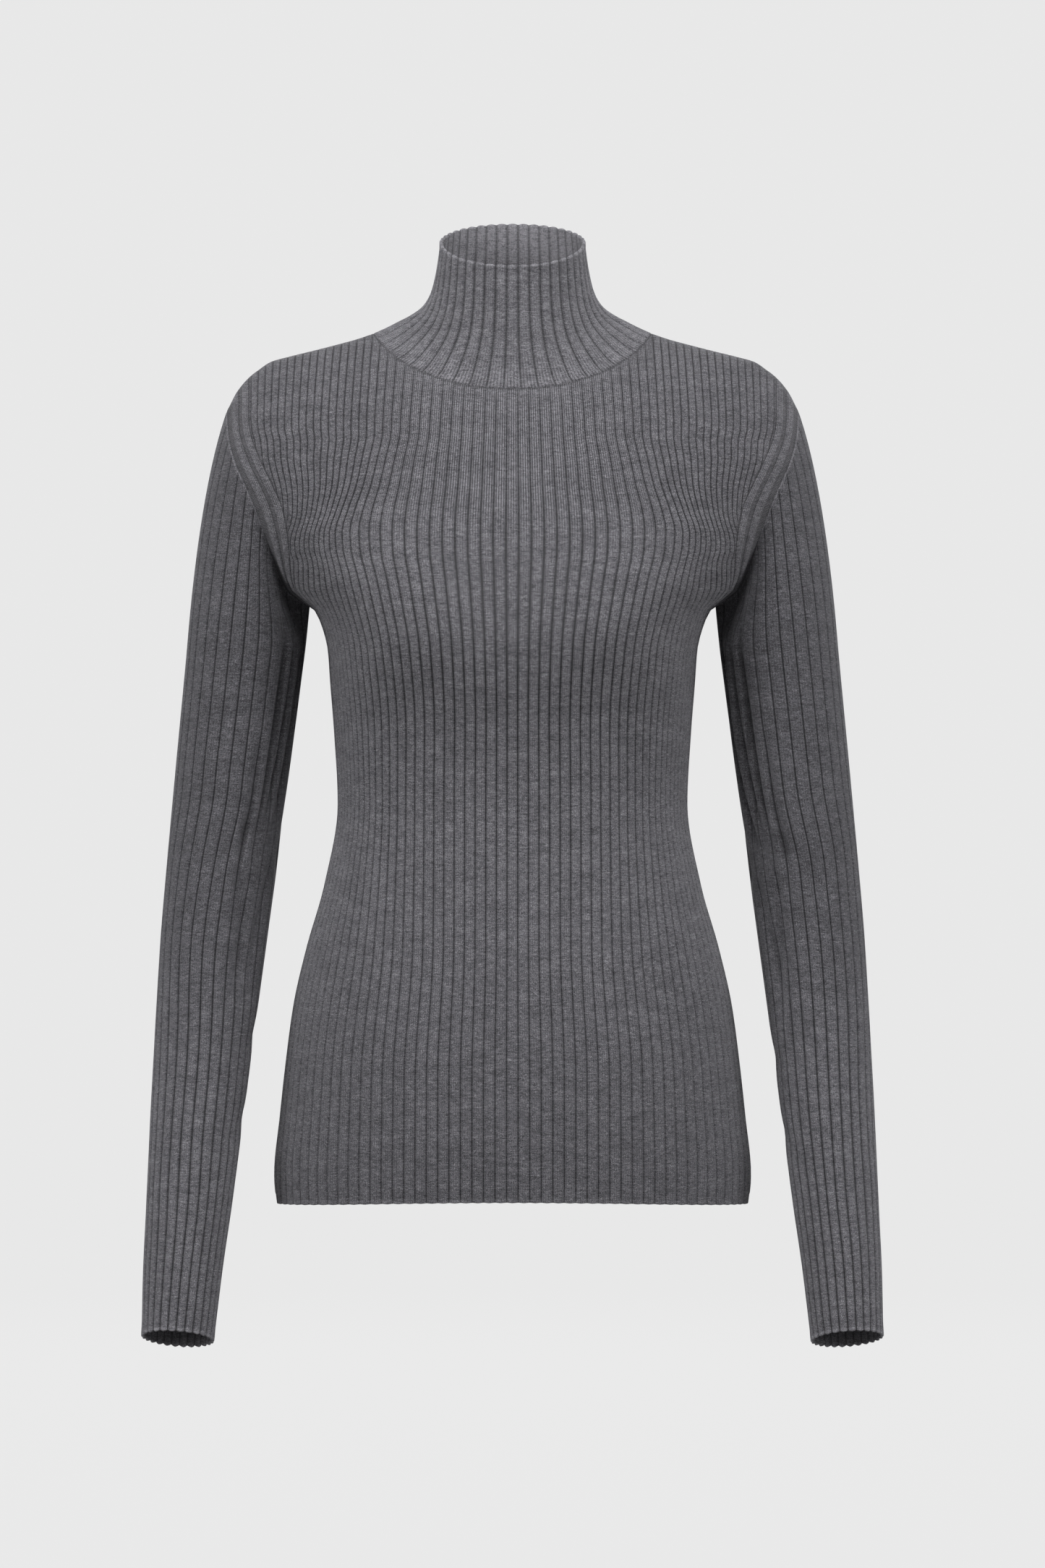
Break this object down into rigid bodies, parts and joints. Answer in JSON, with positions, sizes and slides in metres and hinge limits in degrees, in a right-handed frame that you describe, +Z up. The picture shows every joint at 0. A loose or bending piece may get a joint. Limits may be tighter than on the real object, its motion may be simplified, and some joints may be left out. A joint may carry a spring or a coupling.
{
  "type": "turtleneck sweater",
  "caption": "Slim rib-knit turtleneck sweater with long set-in sleeves and a tall unfolded collar, filled out as worn.",
  "frame": {"origin": "midway between the two high shoulder points, where the wearer's shoulders carry the sweater", "axes": "+X to the left sleeve, which is on the right of a view of the front; the front faces -Y; +Z up"},
  "size_m": [0.517, 0.2318, 0.7908],
  "materials": {
    "front_wool": "grey melange wool, rib knit",
    "back_wool": "grey melange wool, rib knit",
    "sleeve_left_wool": "grey melange wool, rib knit",
    "sleeve_right_wool": "grey melange wool, rib knit",
    "collar_wool": "grey melange wool, rib knit"
  },
  "bodies": {
    "root": {"front": "front_wool", "back": "back_wool", "sleeve_left": "sleeve_left_wool", "sleeve_right": "sleeve_right_wool", "collar": "collar_wool"}
  },
  "joints": []
}
